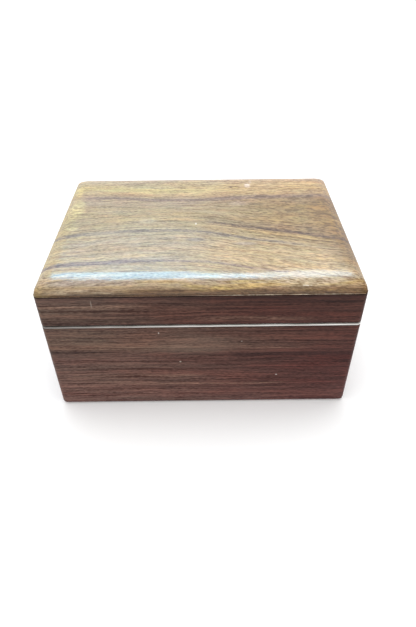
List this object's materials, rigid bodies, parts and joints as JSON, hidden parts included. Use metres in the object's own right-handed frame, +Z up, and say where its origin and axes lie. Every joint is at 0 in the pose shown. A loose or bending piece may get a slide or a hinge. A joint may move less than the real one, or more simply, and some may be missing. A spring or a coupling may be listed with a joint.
{
  "type": "hinged wooden box",
  "caption": "Small hinged wooden box with a thick lid rounded on all edges, a light line let into the rim of the case, and butt hinges at the back.",
  "frame": {"origin": "centre of the case's underside, on the surface that the box stands on", "axes": "+Z up, +X to the right along the front, -Y towards the front, hinges at +Y"},
  "size_m": [0.18, 0.131, 0.095],
  "materials": {
    "case_wood": "dark reddish brown walnut, fine straight grain, satin oil",
    "lid_wood": "golden brown walnut with flowing figure, satin varnish",
    "bottom_wood": "plain sanded walnut",
    "line_wood": "near-white, satin",
    "brass": "satin",
    "felt": "short felt"
  },
  "bodies": {
    "case": {"case_front": "case_wood", "case_back": "case_wood", "case_left": "case_wood", "case_right": "case_wood", "case_bottom": "bottom_wood", "rim_line_front": "line_wood", "rim_line_left": "line_wood", "rim_line_right": "line_wood", "floor_felt": "felt", "left_hinge_case_leaf": "brass", "right_hinge_case_leaf": "brass", "left_hinge_pin": "brass", "right_hinge_pin": "brass", "case_hinge_screws": "brass"},
    "lid": {"lid_top": "lid_wood", "lid_front": "case_wood", "lid_back": "case_wood", "lid_left": "case_wood", "lid_right": "case_wood", "left_hinge_lid_leaf": "brass", "right_hinge_lid_leaf": "brass", "lid_hinge_screws": "brass"}
  },
  "joints": [
    {"name": "lid_hinge", "type": "hinge", "parent": "case", "child": "lid", "pos_m": [0, 0.0629, 0.0656], "axis": [-1, 0, 0], "range_deg": [0, 100]}
  ]
}
